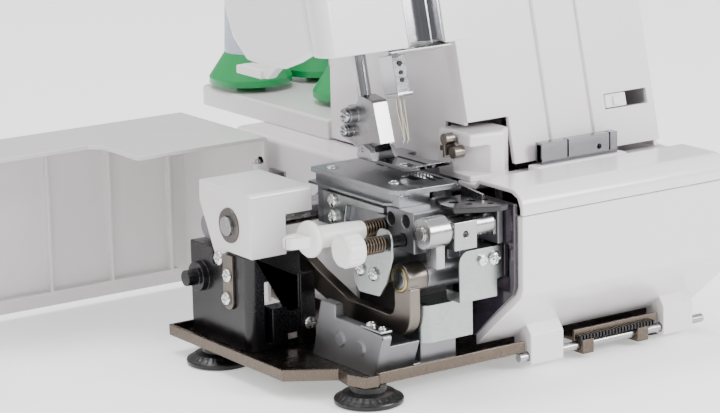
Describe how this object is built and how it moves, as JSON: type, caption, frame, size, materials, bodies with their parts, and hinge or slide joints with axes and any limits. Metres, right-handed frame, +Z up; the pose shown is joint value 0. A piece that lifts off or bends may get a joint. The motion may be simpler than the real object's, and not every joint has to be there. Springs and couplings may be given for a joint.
{
  "type": "serger overlock sewing machine",
  "caption": "Compact overlock sewing machine with swung-open side cover, hinged looper cover, leaning tension tower, overhanging needle head, exposed looper drive and cone stand.",
  "frame": {"origin": "centre of the footprint on the surface the machine stands on", "axes": "+X to the machine's right, +Y to its back, +Z up"},
  "size_m": [0.422, 0.339, 0.279],
  "materials": {
    "white_paint": "satin off-white enamel",
    "smoke_plastic": "dark smoke tinted, glossy",
    "base_steel": "warm grey-brown plated sheet",
    "black_rubber": "matt black",
    "cast_frame": "grey machined casting",
    "bright_steel": "zinc plated and ground steel",
    "chrome": "bright plated sheet",
    "white_plastic": "moulded off-white",
    "black_plastic": "moulded black",
    "black_metal": "gloss black",
    "brown_metal": "brownish phosphated steel",
    "green_plastic": "bright green moulding",
    "thread": "pale blue wound thread",
    "belt_rubber": "fabric-backed belt"
  },
  "bodies": {
    "machine": {"base_cover": "white_paint", "base_plate": "base_steel", "bed_casting": "cast_frame", "bed_top": "white_paint", "belt": "belt_rubber", "black_housing": "black_plastic", "box_cover": "white_paint", "box_guide": "chrome", "chassis": "cast_frame", "cone_holders": "green_plastic", "front_bracket": "bright_steel", "guard_plate": "bright_steel", "guide_block": "white_paint", "head_cover": "white_paint", "head_front_cover": "white_paint", "housing_strap": "bright_steel", "knife_guard": "black_metal", "looper_guide": "brown_metal", "lower_casting": "cast_frame", "motor": "black_plastic", "needle_plate": "bright_steel", "rubber_feet": "black_rubber", "screw_heads": "bright_steel", "shaft_bushes": "bright_steel", "side_hinge": "bright_steel", "smoke_end_wall": "smoke_plastic", "spool_tray": "white_paint", "spring_bracket": "bright_steel", "stem_springs": "bright_steel", "support_bracket": "bright_steel", "tension_panel": "white_paint", "thread_channel": "chrome", "thread_cones": "thread", "tower_case": "white_paint"},
    "side_cover": {"side_cover": "white_paint"},
    "cover_rod": {"front_cover_rod": "bright_steel"},
    "front_cover": {"front_cover": "white_paint"},
    "drive_shaft": {"main_shaft": "bright_steel", "handwheel": "white_plastic"},
    "motor_pulley": {"motor_pulley": "black_plastic"},
    "needle_bar": {"needle_bar": "bright_steel", "needles": "bright_steel"},
    "rocking_arm": {"rocking_arm": "brown_metal", "arm_shaft": "bright_steel"},
    "knife_rocker": {"rocking_block": "bright_steel", "upper_knife": "bright_steel"},
    "feed_dogs": {"feed_dogs": "bright_steel"},
    "presser_bar": {"presser_bar": "bright_steel", "foot_holder": "bright_steel"},
    "presser_foot": {"presser_foot": "bright_steel"},
    "presser_lever": {"presser_lever": "white_plastic"},
    "release_knob": {"release_knob": "white_plastic"},
    "width_dial": {"width_dial": "white_plastic"},
    "tension_dial_1": {"tension_dial_1": "white_plastic"},
    "tension_dial_2": {"tension_dial_2": "white_plastic"},
    "tension_dial_3": {"tension_dial_3": "white_plastic"},
    "tension_dial_4": {"tension_dial_4": "white_plastic"},
    "stitch_slider": {"stitch_slider": "white_plastic"},
    "power_switch": {"power_switch": "black_plastic"},
    "thread_mast": {"thread_mast": "black_metal"}
  },
  "joints": [
    {"name": "side_cover_hinge", "type": "hinge", "parent": "machine", "child": "side_cover", "pos_m": [0.003, 0.0445, 0.06], "axis": [0, 0, 1], "range_deg": [0, 90]},
    {"name": "front_cover_slide", "type": "slide", "parent": "machine", "child": "cover_rod", "axis": [1, 0, 0], "range_m": [0, 0.008]},
    {"name": "front_cover_hinge", "type": "hinge", "parent": "cover_rod", "child": "front_cover", "pos_m": [0.12, -0.1385, 0.0072], "axis": [1, 0, 0], "range_deg": [0, 60]},
    {"name": "shaft_turn", "type": "hinge", "parent": "machine", "child": "drive_shaft", "pos_m": [0.105, -0.0349, 0.0819], "axis": [1, 0, 0], "continuous": true},
    {"name": "motor_turn", "type": "hinge", "parent": "machine", "child": "motor_pulley", "pos_m": [0.151, 0.0305, 0.05], "axis": [1, 0, 0], "continuous": true},
    {"name": "needle_bar_stroke", "type": "slide", "parent": "machine", "child": "needle_bar", "axis": [0, 0.2334, 0.9724], "range_m": [-0.02, 0.004]},
    {"name": "rocking_arm_turn", "type": "hinge", "parent": "machine", "child": "rocking_arm", "pos_m": [-0.015, -0.1337, 0.0638], "axis": [1, 0, 0], "range_deg": [-5.1, 1.1]},
    {"name": "knife_rocker_turn", "type": "hinge", "parent": "machine", "child": "knife_rocker", "pos_m": [0, -0.1515, 0.092], "axis": [1, 0, 0], "range_deg": [-4.8, 1]},
    {"name": "feed_stroke", "type": "slide", "parent": "machine", "child": "feed_dogs", "axis": [0, 1, 0], "range_m": [-0.0021, 0.0005]},
    {"name": "presser_bar_lift", "type": "slide", "parent": "machine", "child": "presser_bar", "axis": [0, 0.2334, 0.9724], "range_m": [-0.004, 0.0015]},
    {"name": "presser_foot_tilt", "type": "hinge", "parent": "presser_bar", "child": "presser_foot", "pos_m": [0.009, -0.0685, 0.121], "axis": [1, 0, 0], "range_deg": [-2, 2]},
    {"name": "presser_lever_turn", "type": "hinge", "parent": "machine", "child": "presser_lever", "pos_m": [-0.015, -0.0355, 0.189], "axis": [1, 0, 0], "range_deg": [-12.5, 5]},
    {"name": "release_knob_turn", "type": "hinge", "parent": "machine", "child": "release_knob", "pos_m": [-0.045, -0.1131, 0.089], "axis": [1, 0, 0], "range_deg": [0, 90]},
    {"name": "width_dial_turn", "type": "hinge", "parent": "machine", "child": "width_dial", "pos_m": [-0.045, -0.1304, 0.0843], "axis": [1, 0, 0], "range_deg": [-120, 120]},
    {"name": "tension_dial_1_turn", "type": "hinge", "parent": "machine", "child": "tension_dial_1", "pos_m": [0.056, -0.0788, 0.235], "axis": [1, 0, 0], "range_deg": [-150, 150]},
    {"name": "tension_dial_2_turn", "type": "hinge", "parent": "machine", "child": "tension_dial_2", "pos_m": [0.077, -0.0788, 0.235], "axis": [1, 0, 0], "range_deg": [-150, 150]},
    {"name": "tension_dial_3_turn", "type": "hinge", "parent": "machine", "child": "tension_dial_3", "pos_m": [0.103, -0.0788, 0.235], "axis": [1, 0, 0], "range_deg": [-150, 150]},
    {"name": "tension_dial_4_turn", "type": "hinge", "parent": "machine", "child": "tension_dial_4", "pos_m": [0.134, -0.0788, 0.235], "axis": [1, 0, 0], "range_deg": [-150, 150]},
    {"name": "stitch_slider_slide", "type": "slide", "parent": "machine", "child": "stitch_slider", "axis": [1, 0, 0], "range_m": [0, 0.014]},
    {"name": "power_switch_rock", "type": "hinge", "parent": "machine", "child": "power_switch", "pos_m": [0.1808, 0.0525, 0.051], "axis": [0, 1, 0], "range_deg": [-8, 8]},
    {"name": "thread_mast_rise", "type": "slide", "parent": "machine", "child": "thread_mast", "axis": [0, 0, 1], "range_m": [0, 0.1]}
  ],
  "couplings": [
    {"joint": "motor_turn", "follows": "shaft_turn", "ratio": 3.3333},
    {"joint": "rocking_arm_turn", "follows": "needle_bar_stroke", "rad_per_m": 4.363},
    {"joint": "knife_rocker_turn", "follows": "needle_bar_stroke", "rad_per_m": 4},
    {"joint": "feed_stroke", "follows": "needle_bar_stroke", "ratio": 0.1},
    {"joint": "presser_lever_turn", "follows": "presser_bar_lift", "rad_per_m": 52.36}
  ]
}
